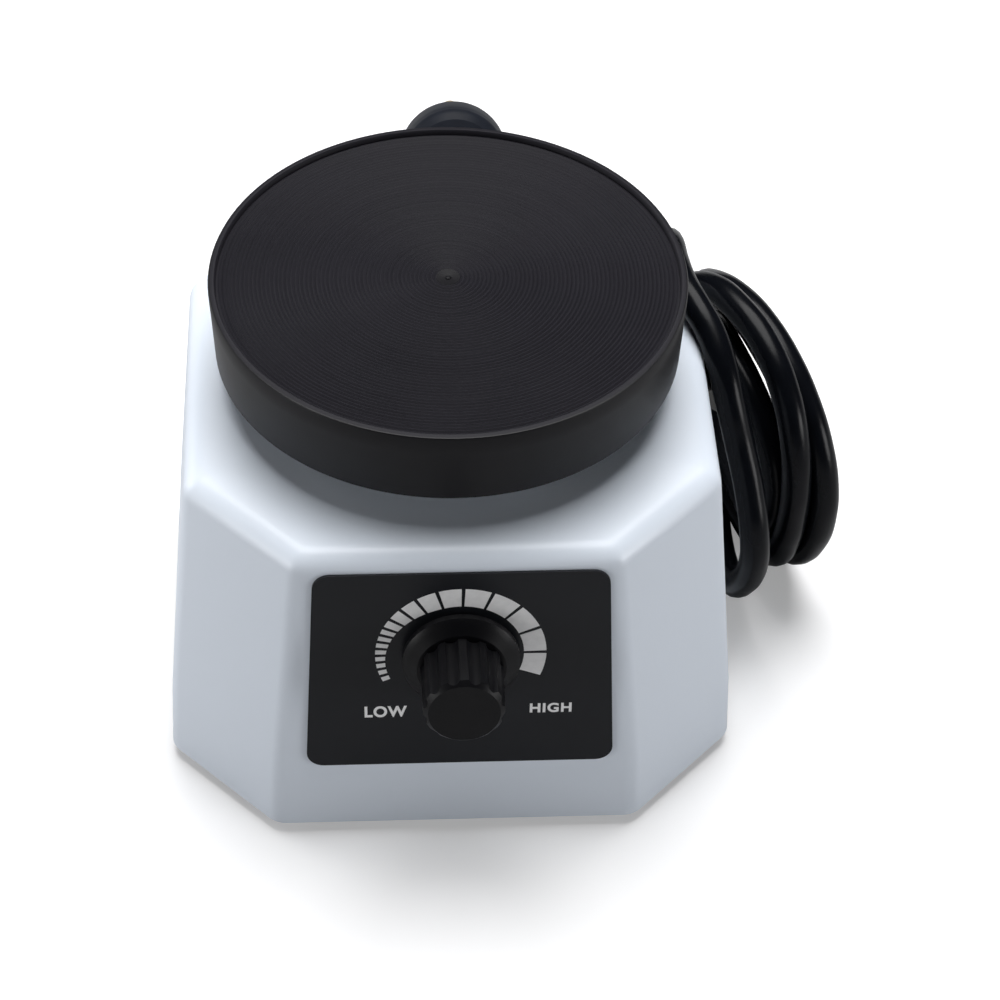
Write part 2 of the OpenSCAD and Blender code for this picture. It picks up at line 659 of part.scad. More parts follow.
module splash_skirt() color("dimgray") on_pin() translate([0, 0, z_top + 1.5])
    rotate_extrude() polygon([
        [skirt_in_r + 0.4, 0], [skirt_in_r + skirt_t - 0.4, 0], [skirt_in_r + skirt_t, 0.6],
        [skirt_in_r + skirt_t, deck_z0 - z_top - 1.5], [skirt_in_r, deck_z0 - z_top - 1.5], [skirt_in_r, 0.6]]);

module platform_mount(i) {
    low = mount_pos[i - 1];
    h = deck_z0 - z_top;
    color("dimgray") difference() {
        translate([low[0] + pin_pos[0] / 2, low[1] + pin_pos[1] / 2, z_top]) rotate_extrude()
            polygon([[0, 0], [mount_d / 2, 0], [mount_d / 2, 1.6], [mount_d / 2 - 1.2, 3],
                [mount_d / 2 - 1.2, h - 3], [mount_d / 2, h - 1.6], [mount_d / 2, h], [0, h]]);
        translate([low[0], low[1], z_top - 1]) cylinder(d = mount_screw_d + 2 * press, h = mount_grip + 1.2);
        translate([low[0] + pin_pos[0], low[1] + pin_pos[1], z_top + h - mount_grip - 0.2])
            cylinder(d = mount_screw_d + 2 * press, h = mount_grip + 2);
    }
}

module mount_base_screws() color("gray") for (p = mount_pos)
    translate([p[0], p[1], z_top - wall]) screw(mount_screw_d, wall + mount_grip, mount_head_d, mount_head_h);

module mount_top_screws() color("gray") on_pin() for (p = mount_pos)
    translate([p[0], p[1], deck_z1 - mount_sink]) mirror([0, 0, 1])
        screw(mount_screw_d, deck_z1 - mount_sink - deck_z0 + mount_grip, mount_head_d, mount_head_h);

// ---- Controls ----

module dial_plate() color("black") on_front(dial_x, 0) difference() {
    hull() for (end = [[dial_w_top, -dial_drop - dial_r], [dial_w_low, -dial_drop - dial_h + dial_r]],
                side = [-1, 1])
        translate([side * (end[0] / 2 - dial_r), end[1], 0]) cylinder(r = dial_r, h = dial_t, $fn = 32);
    translate([0, -knob_drop, -1]) cylinder(d = bushing_d + fit, h = 3);
}

module speed_control() color("darkgray") on_front(dial_x, knob_drop) difference() {
    union() {
        translate([0, 0, -wall - control_body_h]) cylinder(d = control_body_d, h = control_body_h);
        translate([0, 0, -wall - 1]) cylinder(d = bushing_d, h = wall + 1 + bushing_h);
        for (x = [-5, 0, 5]) translate([x - 0.6, -control_body_d / 2 - 3, -wall - control_body_h])
            cube([1.2, 8, 0.8]);
    }
    translate([0, 0, -wall - control_body_h - 1])
        cylinder(r = shaft_d / 2 + running, h = wall + control_body_h + bushing_h + 2);
}

module control_nut() color("silver") on_front(dial_x, knob_drop) translate([0, 0, dial_t]) {
    tube(6, bushing_d / 2 + press, 0.6);
    translate([0, 0, 0.6]) nut(bushing_d, nut_af / cos(30), nut_h);
}

module control_shaft() color("silver") on_front(dial_x, knob_drop) difference() {
    translate([0, 0, -wall - control_body_h + 1])
        cylinder(d = shaft_d, h = wall + control_body_h - 1 + knob_h - 3);
    translate([-shaft_d, 1.7, bushing_h + 0.4]) cube([2 * shaft_d, shaft_d, knob_h]);
}

module control_knob() color("dimgray") on_front(dial_x, knob_drop) {
    z0 = dial_t + knob_gap;
    z1 = dial_t + knob_h;
    skirt_r = knob_skirt_d / 2;
    grip_r = knob_grip_d / 2;
    difference() {
        union() {
            translate([0, 0, z0]) rotate_extrude() polygon([
                [0, 0], [skirt_r - 0.3, 0], [skirt_r, 0.3], [skirt_r, 1.6], [skirt_r - 0.5, 2.1],
                [grip_r + 0.6, 3.8], [0, 3.8]]);
            difference() {
                translate([0, 0, z0]) rotate_extrude() polygon([
                    [0, 0], [grip_r, 0], [grip_r - 0.3, z1 - z0 - 1], [grip_r - 1.3, z1 - z0], [0, z1 - z0]]);
                for (i = [0:flutes - 1]) rotate(360 / flutes * (i + 0.5))
                    translate([grip_r + 1, 0, z0 + 3]) cylinder(r = 1.9, h = knob_h, $fn = 24);
            }
        }
        translate([0, 0, z0 - 1]) cylinder(r = nut_af / cos(30) / 2 + 1, h = bushing_h - z0 + 1.6);
        difference() {
            translate([0, 0, z0]) cylinder(d = shaft_d + 2 * press, h = knob_h - 3 - knob_gap);
            translate([-shaft_d, 1.7 + press, bushing_h + 0.4]) cube([2 * shaft_d, shaft_d, knob_h]);
        }
    }
}

module circuit_board() color("darkgreen") on_front(dial_x, knob_drop) difference() {
    translate([-board_w / 2, board_y0, board_z - board_t]) cube([board_w, board_h, board_t]);
    for (p = board_post_pos) translate([p[0], p[1], board_z - board_t - 1])
        cylinder(d = board_screw_d + fit, h = board_t + 2);
}

module board_screws() color("silver") on_front(dial_x, knob_drop) for (p = board_post_pos)
    translate([p[0], p[1], board_z - board_t]) screw(board_screw_d, board_t + 5, 4.6, 1.6);

// Places children on the back of the board, +Z pointing into the housing
module on_board(x, y) on_front(dial_x, knob_drop)
    translate([x, y, board_z - board_t]) rotate([0, 180, 0]) children();

module triac() color("dimgray") on_board(16, -3) {
    translate([-5, 0, 0.6]) cube([10, 9.2, 4.4]);
    for (x = [-2.5, 0, 2.5]) translate([x - 0.4, -3, 0]) cube([0.8, 5, 1]);
}

module heat_sink() color("silver") on_board(16, 0) translate([-8, -4, 5]) difference() {
    cube([16, 15, 7]);
    for (i = [0:2]) translate([2 + 4.4 * i, -1, 2]) cube([3, 17, 6]);
}

module capacitor() color("gold") on_board(-6, 4) translate([-8, -3.5, 0]) cube([16, 7, 12]);

module fuse() color("lightcyan") on_board(0, -6) {
    translate([-10, 0, 4]) rotate([0, 90, 0]) cylinder(d = 5.2, h = 20);
    for (x = [-10.2, 4.2]) translate([x, -3, 0]) difference() {
        cube([6, 6, 4]);
        translate([-1, 3, 4]) rotate([0, 90, 0]) cylinder(d = 5.4, h = 8);
    }
}

module terminal_block() color("green") on_board(0, -17) difference() {
    translate([-10, -4, 0]) cube([20, 8, 9]);
    for (x = [-7.5:5:7.5]) translate([x, 0, 6]) cylinder(d = 3.4, h = 4);
}

// ---- Mains lead ----

module strain_relief() color("dimgray") on_back(gland_z) difference() {
    rib = relief_l / 6;
    r0 = gland_flange_d / 2;
    r1 = cord_d / 2 + 1.1;
    rotate_extrude() polygon(concat(
        [[0, -wall - gland_depth], [gland_hole_d / 2 - 0.6, -wall - gland_depth], [gland_hole_d / 2 + 0.8, -wall - 1.5],
         [gland_hole_d / 2 + 0.8, -wall - 0.1], [gland_hole_d / 2 - 0.1, -wall - 0.1],
         [gland_hole_d / 2 - 0.1, 0.1], [r0, 0.1], [r0, 2]],
        [for (i = [0:4], s = [0:3]) let (t = (i + s / 4) / 5)
            [r0 - 1 + (r1 - r0 + 1) * t - (s == 1 || s == 2 ? 0.9 : 0), 2 + (relief_l - 2) * t + 0.01 * rib]],
        [[r1, relief_l], [0, relief_l]]));
    translate([0, 0, -wall - gland_depth - 1])
        cylinder(d = cord_d + 2 * press, h = wall + gland_depth + 3);
}

module cord_lead() color("black") cord_tube(lead_route, cord_d);
module cord_tail() color("black") cord_tube(tail_route, cord_d);

// Frame of the coil: it stands on its rim and leans on the housing
module on_coil() translate(coil_at) rotate([0, 0, coil_yaw]) rotate([0, 90 - coil_lean, 0]) children();

module cord_coil() color("black") on_coil() rotate_extrude() polygon([
    [coil_r_in, coil_side_in], [coil_bevel_r, coil_side_in], [coil_r_out, coil_side_in + coil_bevel],
    [coil_r_out, coil_side_out - 1], [coil_r_out - 1, coil_side_out], [coil_r_in, coil_side_out]]);

module cord_tie() color("dimgray") on_coil() rotate([0, 0, tie_angle])
    translate([(coil_r_in + coil_r_out) / 2, 0, (coil_side_in + coil_side_out) / 2])
    rotate([90, 0, 0]) translate([0, 0, -tie_w / 2]) linear_extrude(tie_w) difference() {
        rounded_rect(coil_r_out - coil_r_in + 2.2, coil_side_out - coil_side_in + 2.2, 2);
        rounded_rect(coil_r_out - coil_r_in + 0.1, coil_side_out - coil_side_in + 0.1, 1);
    }

// Frame of the plug: +Z out of its pin face, +X towards the lead
module on_plug() translate(plug_at) rotate([-90 - plug_tilt, 0, 0]) children();

module plug_body() color("black") on_plug() difference() {
    r = plug_d / 2;
    union() {
        translate([0, 0, -plug_t]) rotate_extrude() polygon([
            [0, 0], [r * 0.55, 0], [r * 0.82, 1.2], [r * 0.96, 4], [r, 7.5], [r, plug_t - 1], [r - 1, plug_t], [0, plug_t]]);
        rotate(plug_turn) translate([r - 3, 0, -plug_t / 2]) rotate([0, 90, 0])
            cylinder(r1 = plug_t / 2 - 1, r2 = cord_d / 2 + 0.8, h = plug_relief);
    }
    rotate(plug_turn) for (x = [6:2.6:14]) translate([r + x, 0, -plug_t / 2]) rotate([0, 90, 0])
        tube(plug_t, cord_d / 2 + 0.6, 1);
}

module plug_blades() color("gold") on_plug() for (side = [-1, 1])
    translate([side * pin_pitch / 2 - 0.8, -1.5, 0]) cube([1.6, 6.3, blade_l]);

module plug_earth_pin() color("gold") on_plug() translate([0, -earth_at, 0]) cylinder(d = earth_d, h = earth_l);

// ---- Show one piece or all ----

upper_housing();
base_plate();
for (i = [1:4]) foot(i);
case_screws();
dial_plate();
stator_core();
coil_bobbin();
coil_winding();
upper_bearing_bracket();
lower_bearing_bracket();
upper_bush();
lower_bush();
bracket_bolts();
motor_pillars();
motor_isolators();
motor_bolts();
for (i = [1:4]) platform_mount(i);
mount_base_screws();
speed_control();
control_nut();
circuit_board();
board_screws();
triac();
heat_sink();
capacitor();
fuse();
terminal_block();
strain_relief();
cord_lead();
cord_coil();
cord_tail();
cord_tie();
plug_body();
plug_blades();
plug_earth_pin();
motor_shaft();
rotor_core();
cooling_fan();
eccentric_hub();
hub_set_screw();
crank_pin();
bearing_inner_race();
bearing_balls();
bearing_outer_race();
platform_hub();
hub_screws();
platform_deck();
mount_top_screws();
rubber_platform();
splash_skirt();
control_knob();
control_shaft();
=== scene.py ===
"""Dresses a flat-platform vortex mixer and sets it on a pale studio floor."""

import math
import bmesh
import bpy
from mathutils import Matrix, Vector


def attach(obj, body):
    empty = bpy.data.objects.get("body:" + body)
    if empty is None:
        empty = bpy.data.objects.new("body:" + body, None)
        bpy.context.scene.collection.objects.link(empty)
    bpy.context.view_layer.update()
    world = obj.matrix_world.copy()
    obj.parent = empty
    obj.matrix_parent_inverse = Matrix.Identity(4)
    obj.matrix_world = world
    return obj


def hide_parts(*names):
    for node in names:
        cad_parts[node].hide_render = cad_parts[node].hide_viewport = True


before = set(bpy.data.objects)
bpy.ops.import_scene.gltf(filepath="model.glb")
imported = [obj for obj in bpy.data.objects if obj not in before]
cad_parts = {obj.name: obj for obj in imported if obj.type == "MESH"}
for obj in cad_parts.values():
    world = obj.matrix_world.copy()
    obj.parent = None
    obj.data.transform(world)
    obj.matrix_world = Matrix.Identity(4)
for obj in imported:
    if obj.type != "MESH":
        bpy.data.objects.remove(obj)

bl_info = {
    "name": "Vortex Mixer",
    "version": (1, 0, 0),
    "blender": (4, 5, 0),
    "location": "3D View > Sidebar > Mixer",
    "description": "Dresses a flat-platform vortex mixer and its studio stage",
    "category": "Object",
}

MM = 0.001
# Corners closer than this are one corner
MERGE = 1e-6

# The sloped front of the housing, as the solids have it
TOP_HALF = 56.4 * MM
TOP_Z = 79 * MM
SIDE_TILT = math.atan2(5.4, 60)
DIAL_X = 0.8 * MM
DIAL_THICKNESS = 0.6 * MM
SCALE_DROP = 26.0 * MM

# The platform, as the solids have it: its offset at rest, its rim, and how far the rim stands up
ORBIT = 1.5 * MM
PAD_HIGH = 105.5 * MM
RIM_R = 50.8 * MM
LIP_RISE = 0.9 * MM
# The smooth middle inside its ribs, darkened with painted shade against its brighter reflection, and the
# edge left out at its rim
BUTTON_R = 2.6 * MM
RIM_EDGE = 0.4 * MM

# The mains lead's route, as the solids have it, in millimetres
RELIEF_TIP = (0, 78.78, 25.57)
LEAD_ROUTE = [
    RELIEF_TIP, (0, 85.55, 26.18), (1.5, 93, 26.5), (5.5, 100, 24.5), (12, 106, 20.5),
    (21, 109, 15), (31, 108, 9.5), (41, 103, 5.5), (49, 94, 3.8), (55.5, 82, 3.6),
    (60, 69, 3.6), (63, 56, 3.6), (65.6, 44, 3.6), (66.6, 32, 3.6), (66.5, 21, 4),
    (66.5, 10, 6.5), (67, -1, 12), (68, -8.5, 20), (69, -13, 30), (68.5, -13.5, 40),
    (67, -9.5, 50), (64.6, -4.5, 60), (62.3, -1, 69), (60.5, 3.5, 75.6), (58.4, 9.5, 79.9),
    (55.6, 15.5, 82.4), (53.2, 22.5, 83.2), (52, 30, 83.2), (51.8, 37.5, 81.8), (52, 44.5, 77),
    (52.2, 51, 68), (52.6, 55, 57),
]
TAIL_ROUTE = [
    (62.8, 58, 51), (62.6, 63.5, 40), (63, 67.5, 29), (63.6, 72, 18.5), (64, 78.5, 10),
    (63.8, 88, 5), (63, 99, 3.6), (62, 110, 3.6), (60.4, 121, 3.6), (57.5, 131.5, 3.6),
    (52.5, 140, 3.6), (46, 144.8, 3.6), (38.7, 146.2, 4.1), (35.6, 146.9, 5.4),
]
# The coil's frame: its middle, and how it is turned and leans
COIL_AT = (72.4, 28.4, 36.2)
COIL_YAW = math.radians(24.5)
COIL_LEAN = math.radians(2.6)
# Turns of the coil: how far round, in turns from the top, then radius and side shift in mm
COIL_TURNS = [
    (0.2, 34, -5.5), (0.3, 31, -3), (0.42, 27.6, -1.6), (0.5, 27.2, -2.4), (0.58, 29, -5.2),
    (0.645, 31.2, -6.6), (0.72, 30.2, -6.8), (0.78, 31.6, -6.8), (0.84, 35, -6.6),
    (0.89, 37.4, -5.8), (0.94, 38.3, -5), (1.04, 37.2, -5.5), (1.1, 34, -6.3),
    (1.17, 30, -5.5), (1.28, 24.6, -2.5), (1.42, 21, -0.6), (1.5, 21, -2), (1.6, 23, -5.6),
    (1.68, 24, -7), (1.95, 24.4, -7), (2.08, 24.6, -3.5), (2.17, 23.5, 1), (2.27, 25, 5.5),
    (2.42, 26, 6), (2.62, 26, 0.5), (2.95, 26, 0.2), (3.08, 25.6, 3.4), (3.17, 27.6, 6.4),
    (3.27, 31, 7.5), (3.42, 33, 6.5), (3.62, 33, 0.2), (3.7, 32.4, 0), (3.8, 32.8, 0),
    (3.95, 33.2, 0), (4.08, 33.4, 0),
]
STEPS_PER_TURN = 20
# Turns closer than this are the same
SAME_TURN = 1e-6
# How much paler than the lead its plug and strain relief are moulded
MOULDING_SHADE = 3.4
# Where the fuse's two metal caps begin, along X
FUSE_CAPS = (-5.2 * MM, 6.8 * MM)

# The camera: its azimuth, elevation and roll in degrees, what it looks at, and how far away it is,
# then its lens and its sensor in millimetres
CAMERA_ANGLES = (-2.54, 43.46, 0.60)
AIM = (0, 0, 0.06)
CAMERA_AWAY = 0.6646
LENS = 108.04
SENSOR = 36
FRAME_SHIFT = (0.0533, -0.0655)

# The floor: half its width, its paper's roughness and sheen, and its shade in bounced light
FLOOR_HALF = 6.0
FLOOR_ROUGHNESS = 0.9
FLOOR_SHEEN = 0.1
FLOOR_BOUNCE = 0.55
# What the camera sees of its glow: how strong it is near the mixer, and where it grows to full
NEAR_GLOW = 0.26
FLOOR_GLOW = (0.3, 1.1)
# Each lamp's place and size
LAMPS = {
    "overhead": ((0.03, 0.38, 1.25), 1.2),
    "left": ((-1.1, -0.5, 0.2), 0.5),
    "right": ((1.1, -0.5, 0.2), 0.5),
    "behind": ((-1.0, 0.5, 0.35), 0.6),
}


# ---- Materials ----


class Value:
    """A node's output that takes part in Python sums."""

    def __init__(self, tree, socket):
        self.tree = tree
        self.socket = socket

    def sum_with(self, operation, *others):
        node = self.tree.nodes.new("ShaderNodeMath")
        node.operation = operation
        for place, item in enumerate(others):
            if isinstance(item, Value):
                self.tree.links.new(item.socket, node.inputs[place])
            else:
                node.inputs[place].default_value = item
        return Value(self.tree, node.outputs[0])

    def __add__(self, other):
        return self.sum_with("ADD", self, other)

    def __radd__(self, other):
        return self.sum_with("ADD", other, self)

    def __sub__(self, other):
        return self.sum_with("SUBTRACT", self, other)

    def __rsub__(self, other):
        return self.sum_with("SUBTRACT", other, self)

    def __mul__(self, other):
        return self.sum_with("MULTIPLY", self, other)

    def __rmul__(self, other):
        return self.sum_with("MULTIPLY", other, self)

    def __pow__(self, other):
        return self.sum_with("POWER", self, other)

    def above(self, edge):
        return self.sum_with("GREATER_THAN", self, edge)


class Finish:
    """A material in the making, round one Principled shader."""

    def __init__(self, name, colour, roughness, metallic=0.0, **sockets):
        self.material = bpy.data.materials.new(name)
        self.material.use_nodes = True
        self.material.diffuse_color = (*colour, 1)
        self.tree = self.material.node_tree
        self.tree.nodes.clear()
        self.output = self.tree.nodes.new("ShaderNodeOutputMaterial")
        self.shader = self.tree.nodes.new("ShaderNodeBsdfPrincipled")
        self.tree.links.new(self.shader.outputs[0], self.output.inputs["Surface"])
        self.feed(self.shader, {"Base Color": (*colour, 1), "Roughness": roughness, "Metallic": metallic})
        self.feed(self.shader, {key.replace("_", " "): value for key, value in sockets.items()})

    def feed(self, node, sockets):
        for name, item in sockets.items():
            if isinstance(item, Value):
                self.tree.links.new(item.socket, node.inputs[name])
            else:
                node.inputs[name].default_value = item

    def node(self, kind, settings=None, sockets=None, output=0):
        """Adds a node: its settings first, then its sockets."""
        node = self.tree.nodes.new(kind)
        for name, item in (settings or {}).items():
            setattr(node, name, item)
        self.feed(node, sockets or {})
        return Value(self.tree, node.outputs[output])

    def place(self):
        return self.node("ShaderNodeTexCoord", output="Object")

    def axes(self):
        """The three Object coordinates, each by itself."""
        apart = self.node("ShaderNodeSeparateXYZ", sockets={"Vector": self.place()})
        return [Value(self.tree, apart.socket.node.outputs[axis]) for axis in "XYZ"]

    def noise(self, scale, detail=3.0, roughness=0.5, where=None):
        sockets = {"Vector": where or self.place(), "Scale": scale, "Detail": detail, "Roughness": roughness}
        return self.node("ShaderNodeTexNoise", {"normalize": True}, sockets)

    def mix(self, mask, low, high):
        """Blends two colours by a mask."""
        sockets = {0: mask, 6: (*low, 1) if isinstance(low, tuple) else low,
                   7: (*high, 1) if isinstance(high, tuple) else high}
        return self.node("ShaderNodeMix", {"data_type": "RGBA"}, sockets, output=2)

    def paint(self, **sockets):
        self.feed(self.shader, {key.replace("_", " "): value for key, value in sockets.items()})

    def bump(self, height, distance, strength=1.0):
        sockets = {"Height": height, "Distance": distance, "Strength": strength}
        self.paint(Normal=self.node("ShaderNodeBump", sockets=sockets))


def shade(colour, factor):
    return tuple(min(channel * factor, 1.0) for channel in colour)


def moulded_housing(colour):
    """Glossy ABS: a faint orange peel and a little handling haze."""
    made = Finish("housing_plastic", colour, 0.3, Specular_IOR_Level=0.5)
    made.paint(Base_Color=made.mix(made.noise(9, 2), shade(colour, 0.99), shade(colour, 1.01)))
    made.paint(Roughness=0.34 + made.noise(30, 2) * 0.04)
    made.bump(made.noise(900, 2), 0.00003, 0.4)
    return made.material


def black_rubber(name, colour, roughness=0.62, grain=2600):
    made = Finish(name, colour, roughness, Specular_IOR_Level=0.25)
    cloud = made.noise(70, 5, 0.6)
    made.paint(Base_Color=made.mix(cloud, shade(colour, 0.7), shade(colour, 1.5)))
    made.paint(Roughness=roughness - 0.1 + made.noise(240, 4) * 0.2)
    made.bump(made.noise(grain, 3), 0.00006, 0.5)
    return made.material


def ribbed_rubber(colour):
    """The platform's rubber: moulding rings and dust on top, a middle darkened with painted shade against
    its brighter reflection, and a sheen on the side.
    """
    made = Finish("platform_rubber", colour, 0.6, Specular_IOR_Level=0.12, Coat_Roughness=0.3)
    x, y, z = made.axes()
    reach = (x * x + (y - ORBIT) * (y - ORBIT)) ** 0.5
    ring = made.node("ShaderNodeTexNoise", {"noise_dimensions": "1D"},
                     {"W": reach, "Scale": 1400.0, "Detail": 2.0})
    cloud = made.noise(45, 5, 0.6)
    on_top = z.above(PAD_HIGH - 2 * LIP_RISE) * (1 - reach.above(RIM_R - RIM_EDGE))
    # Dust and rings on top, left out of the smooth middle, whose darker colour is painted shade against its
    # brighter reflection
    dust_and_painted_shade = on_top * reach.above(BUTTON_R) * (0.35 + ring * 0.35 + cloud * 0.5)
    made.paint(Base_Color=made.mix(dust_and_painted_shade, shade(colour, 0.6), shade(colour, 1.7)))
    made.paint(Roughness=0.46 + cloud * 0.12, Coat_Weight=(1 - on_top) * 0.2)
    made.bump(ring * 0.6 + made.noise(2200, 3) * 0.5, 0.00007, 0.6)
    return made.material


def dial_film(colour):
    """Satin black printed film."""
    made = Finish("dial_film", colour, 0.32, Specular_IOR_Level=0.2)
    made.paint(Base_Color=made.mix(made.noise(40, 4), shade(colour, 0.8), shade(colour, 1.25)))
    made.paint(Roughness=0.28 + made.noise(90, 5) * 0.12)
    made.bump(made.noise(1500, 2), 0.00002, 0.4)
    return made.material


def print_ink(colour):
    made = Finish("dial_print", colour, 0.5)
    made.paint(Base_Color=made.mix(made.noise(700, 4), shade(colour, 0.86), shade(colour, 1.05)))
    made.paint(Roughness=0.45 + made.noise(300, 3) * 0.15)
    return made.material


def satin_knob(colour):
    made = Finish("knob_plastic", colour, 0.38, Specular_IOR_Level=0.16)
    made.paint(Base_Color=made.mix(made.noise(120, 5), shade(colour, 0.7), shade(colour, 1.5)))
    made.paint(Roughness=0.3 + made.noise(200, 4) * 0.18)
    made.bump(made.noise(3000, 2), 0.00003, 0.5)
    return made.material


def cord_sheath(name, colour, roughness=0.25):
    """Smooth soft PVC, a little dusty."""
    made = Finish(name, colour, roughness, Specular_IOR_Level=0.13)
    made.paint(Base_Color=made.mix(made.noise(150, 5, 0.6), shade(colour, 0.7), shade(colour, 1.6)))
    made.paint(Roughness=roughness - 0.05 + made.noise(320, 5) * 0.1)
    made.bump(made.noise(500, 2), 0.00008, 0.3)
    return made.material


def worked_metal(name, colour, roughness, streak=(1, 1, 1), grain=900):
    """Bare metal with tool marks along or across one way."""
    made = Finish(name, colour, roughness, metallic=1.0)
    where = made.node("ShaderNodeMapping", sockets={"Vector": made.place(), "Scale": streak})
    marks = made.noise(grain, 4, 0.6, where)
    stain = made.noise(60, 4)
    made.paint(Base_Color=made.mix(stain, shade(colour, 0.82), shade(colour, 1.06)))
    made.paint(Roughness=roughness - 0.08 + marks * 0.22)
    made.bump(marks, 0.00004, 0.35)
    return made.material


def plain_plastic(name, colour, roughness=0.45):
    made = Finish(name, colour, roughness)
    made.paint(Base_Color=made.mix(made.noise(90, 4), shade(colour, 0.88), shade(colour, 1.08)))
    made.paint(Roughness=roughness - 0.06 + made.noise(260, 4) * 0.14)
    made.bump(made.noise(1800, 2), 0.00003, 0.4)
    return made.material


def wound_copper(colour):
    """Enamelled wire, wound turn by turn along X, with painted shade in the grooves between the turns."""
    made = Finish("copper_wire", colour, 0.3, metallic=0.7, Coat_Weight=0.6)
    turns_and_shade = made.node("ShaderNodeTexWave", {"bands_direction": "X"},
                      {"Vector": made.place(), "Scale": 330.0, "Distortion": 0.4, "Detail": 2.0})
    # Painted shade: each turn darkens towards the grooves between the turns
    made.paint(Base_Color=made.mix(turns_and_shade, shade(colour, 0.35), colour))
    made.bump(turns_and_shade, 0.0002, 0.8)
    return made.material


def stacked_steel(colour):
    """Varnished laminations, one on the other along Z."""
    made = Finish("laminations", colour, 0.5, metallic=0.6)
    sheets = made.node("ShaderNodeTexWave", {"bands_direction": "Z"},
                       {"Vector": made.place(), "Scale": 620.0, "Distortion": 0.3})
    made.paint(Base_Color=made.mix(sheets, shade(colour, 0.45), shade(colour, 1.2)))
    made.paint(Roughness=0.4 + made.noise(160, 4) * 0.25)
    made.bump(sheets, 0.0001, 0.6)
    return made.material


def board_laminate(colour):
    """Solder mask over fibreglass, with a faint trace pattern."""
    made = Finish("circuit_board", colour, 0.35, Coat_Weight=0.3)
    traces = made.node("ShaderNodeTexVoronoi", {"feature": "DISTANCE_TO_EDGE"},
                       {"Vector": made.place(), "Scale": 190.0})
    line = 1 - traces.above(0.08)
    made.paint(Base_Color=made.mix(line * 0.6, colour, shade(colour, 1.9)))
    made.paint(Roughness=0.3 + made.noise(300, 3) * 0.15)
    return made.material


def fuse_tube(colour):
    made = Finish("fuse_glass", colour, 0.12, Coat_Weight=0.5)
    x = made.axes()[0]
    cap = x.above(FUSE_CAPS[1]) + (1 - x.above(FUSE_CAPS[0]))
    made.paint(Base_Color=made.mix(cap, colour, (0.62, 0.62, 0.6)))
    made.paint(Metallic=cap * 0.9)
    made.paint(Roughness=0.12 + made.noise(400, 3) * 0.1)
    return made.material


# ---- Sizes and colours that a user would change ----


class MixerFinishes(bpy.types.PropertyGroup):
    housing: bpy.props.FloatVectorProperty(
        name="Housing", description="Colour of the moulded housing", subtype="COLOR",
        size=3, min=0, max=1, default=(0.785, 0.85, 0.94))
    platform: bpy.props.FloatVectorProperty(
        name="Platform", description="Colour of the platform's rubber", subtype="COLOR",
        size=3, min=0, max=1, default=(0.011, 0.0105, 0.0135))
    dial: bpy.props.FloatVectorProperty(
        name="Dial", description="Colour of the dial's film", subtype="COLOR",
        size=3, min=0, max=1, default=(0.012, 0.013, 0.016))
    ink: bpy.props.FloatVectorProperty(
        name="Print", description="Colour of the dial's print", subtype="COLOR",
        size=3, min=0, max=1, default=(0.95, 0.95, 0.96))
    knob: bpy.props.FloatVectorProperty(
        name="Knob", description="Colour of the knob", subtype="COLOR",
        size=3, min=0, max=1, default=(0.004, 0.004, 0.005))
    cord: bpy.props.FloatVectorProperty(
        name="Mains lead", description="Colour of the lead and its plug", subtype="COLOR",
        size=3, min=0, max=1, default=(0.003, 0.0035, 0.005))


class MixerDial(bpy.types.PropertyGroup):
    marks: bpy.props.IntProperty(
        name="Marks", description="Number of marks round the scale", min=8, max=30, default=18)
    outer: bpy.props.FloatProperty(
        name="Outer radius", description="Outer radius of the scale", unit="LENGTH",
        min=0.014, max=0.022, default=0.0179)
    low_band: bpy.props.FloatProperty(
        name="Low band", description="Width of the scale at its low end", unit="LENGTH",
        min=0.001, max=0.004, default=0.0017)
    high_band: bpy.props.FloatProperty(
        name="High band", description="Width of the scale at its high end", unit="LENGTH",
        min=0.003, max=0.007, default=0.0047)
    low_angle: bpy.props.FloatProperty(
        name="Low end", description="Where the scale starts", unit="ROTATION",
        min=math.radians(180), max=math.radians(225), default=math.radians(205.5))
    high_angle: bpy.props.FloatProperty(
        name="High end", description="Where the scale ends", unit="ROTATION",
        min=math.radians(-45), max=math.radians(0), default=math.radians(-22.5))
    gap: bpy.props.FloatProperty(
        name="Gap", description="Gap between two marks", unit="LENGTH",
        min=0.0002, max=0.001, default=0.0008)


class MixerCord(bpy.types.PropertyGroup):
    diameter: bpy.props.FloatProperty(
        name="Diameter", description="Diameter of the mains lead", unit="LENGTH",
        min=0.005, max=0.008, default=0.0068)


class MixerStage(bpy.types.PropertyGroup):
    floor: bpy.props.FloatVectorProperty(
        name="Floor", description="Colour of the floor", subtype="COLOR",
        size=3, min=0, max=1, default=(0.86, 0.86, 0.87))
    overhead: bpy.props.FloatProperty(
        name="Overhead", description="Power of the lamp above, in watts", min=0, max=200, default=24.5)
    left: bpy.props.FloatProperty(
        name="Left", description="Power of the lamp on the left, in watts", min=0, max=100, default=4.3)
    right: bpy.props.FloatProperty(
        name="Right", description="Power of the lamp on the right, in watts", min=0, max=100, default=4.7)
    behind: bpy.props.FloatProperty(
        name="Behind", description="Power of the lamp behind on the left, in watts",
        min=0, max=100, default=2.8)
    sky: bpy.props.FloatProperty(
        name="Sky", description="Strength of the even light all round", min=0, max=2, default=0.005)


# ---- Making pieces ----


def add_piece(name, mesh, material, body, replaced=()):
    """Links a mesh as a piece of the object, on its body."""
    piece = bpy.data.objects.new(name, mesh)
    bpy.context.scene.collection.objects.link(piece)
    mesh.materials.clear()
    mesh.materials.append(material)
    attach(piece, body)
    if replaced:
        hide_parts(*replaced)
    return piece


